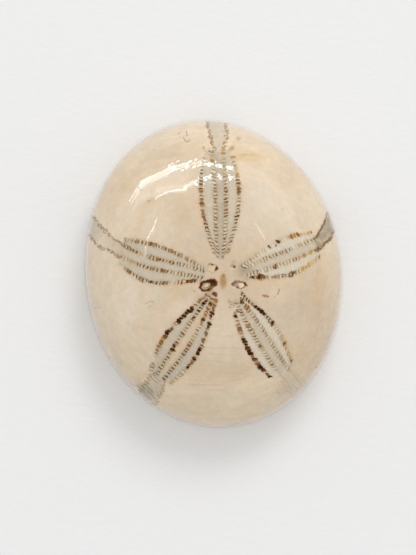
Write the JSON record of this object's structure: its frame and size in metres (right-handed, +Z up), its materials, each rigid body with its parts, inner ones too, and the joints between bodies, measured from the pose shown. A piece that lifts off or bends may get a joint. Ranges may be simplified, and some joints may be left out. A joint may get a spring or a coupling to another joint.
{
  "type": "fossil sand dollar",
  "caption": "Polished fossil sand dollar: a low oval dome with petals of paired pores round its crown, and a mouth and a vent in its flat underside, on which it lies.",
  "frame": {"origin": "middle of the footprint, on the surface that the flat underside rests on", "axes": "+Z up through the dome, +Y along the long axis to the front, where the longest petal runs, +X to the right as seen from above"},
  "size_m": [0.0386, 0.0459, 0.0174],
  "materials": {
    "fossil_calcite": "polished cream calcite, glossy, with grey bands and brown iron stains along the pore rows"
  },
  "bodies": {
    "root": {"sand_dollar": "fossil_calcite"}
  },
  "joints": []
}
